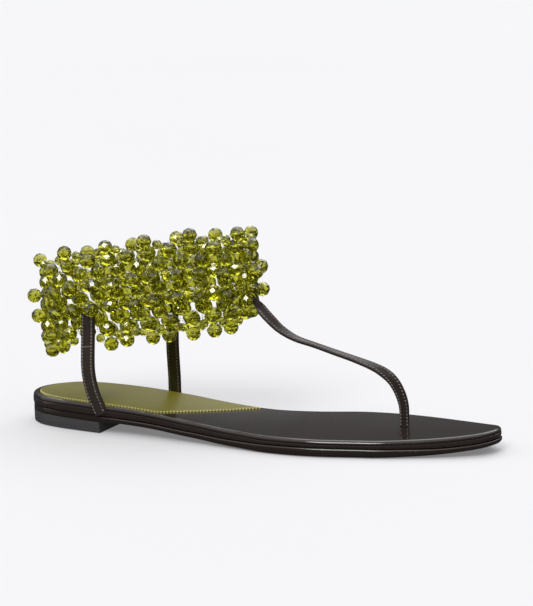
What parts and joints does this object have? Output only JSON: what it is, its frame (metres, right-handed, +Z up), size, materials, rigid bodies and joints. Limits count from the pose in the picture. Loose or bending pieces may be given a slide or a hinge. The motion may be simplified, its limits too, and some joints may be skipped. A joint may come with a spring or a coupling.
{
  "type": "beaded sandal",
  "caption": "Flat thong sandal for the right foot with an ankle cuff woven from faceted glass beads, held by two side straps and a T-strap on a thin leather sole.",
  "frame": {"origin": "on the floor, under the middle of the shoe's box", "axes": "+X from heel to toe, +Y towards the medial side of the right foot, +Z up"},
  "size_m": [0.2576, 0.0837, 0.1097],
  "materials": {
    "outsole": "dark brown sole leather, edge inked and polished",
    "heel": "grey-black stacked heel, satin",
    "insole": "dark brown leather, semi-gloss, wrapped over the edge",
    "sock": "olive leather, satin, cut edge",
    "strap": "dark brown leather, semi-gloss, stitched along the edges",
    "beads": "clear olive-green faceted glass"
  },
  "bodies": {
    "root": {"outsole": "outsole", "heel_block": "heel", "insole": "insole", "heel_sock": "sock", "thong_strap": "strap", "side_strap_lateral": "strap", "side_strap_medial": "strap", "bead_cuff": "beads"}
  },
  "joints": []
}
